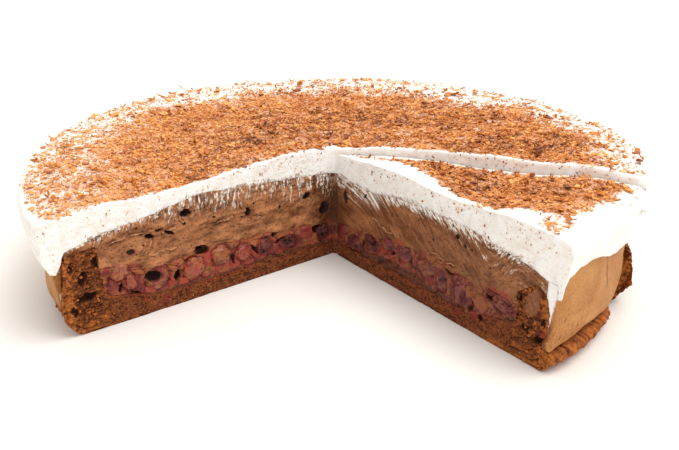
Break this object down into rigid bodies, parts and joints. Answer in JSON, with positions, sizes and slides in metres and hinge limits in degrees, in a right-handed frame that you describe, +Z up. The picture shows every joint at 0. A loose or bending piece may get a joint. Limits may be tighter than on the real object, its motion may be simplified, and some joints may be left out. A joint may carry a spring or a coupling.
{
  "type": "black forest cake",
  "caption": "round black forest cake with a quarter removed and one cut slice still in place, showing dark sponge, cherries, chocolate cream and whipped cream under chocolate shavings",
  "frame": {"origin": "centre of the footprint's bounding box, on the surface that the cake rests on; the round cake's axis stands at x 0, y -0.0143", "axes": "+Z up; -Y towards the side with the missing quarter; +X to the right, where the cut slice stands"},
  "size_m": [0.2873, 0.2584, 0.0659],
  "materials": {
    "dark_sponge": "dark baked chocolate sponge, coarse crumb, matt",
    "cherry_filling": "moist cherry filling, slightly glossy",
    "chocolate_cream": "smooth chocolate cream with knife drag marks, satin",
    "chocolate_coat": "thin light chocolate cream on the side, satin",
    "whipped_cream": "whipped cream, soft satin, strewn with milk chocolate shavings",
    "cherry": "cooked sour cherry, wet and wrinkled"
  },
  "bodies": {
    "root": {"cake_sponge_base": "dark_sponge", "cake_cherry_filling": "cherry_filling", "cake_chocolate_cream": "chocolate_cream", "cake_chocolate_coat": "chocolate_coat", "cake_whipped_cream": "whipped_cream", "cake_cherry_01": "cherry", "cake_cherry_02": "cherry", "cake_cherry_03": "cherry", "cake_cherry_04": "cherry", "cake_cherry_05": "cherry", "cake_cherry_06": "cherry", "cake_cherry_07": "cherry", "cake_cherry_08": "cherry", "cake_cherry_09": "cherry", "slice_sponge_base": "dark_sponge", "slice_cherry_filling": "cherry_filling", "slice_chocolate_cream": "chocolate_cream", "slice_chocolate_coat": "chocolate_coat", "slice_whipped_cream": "whipped_cream", "slice_cherry_01": "cherry", "slice_cherry_02": "cherry", "slice_cherry_03": "cherry", "slice_cherry_04": "cherry", "slice_cherry_05": "cherry", "slice_cherry_06": "cherry", "slice_cherry_07": "cherry", "slice_cherry_08": "cherry"}
  },
  "joints": []
}
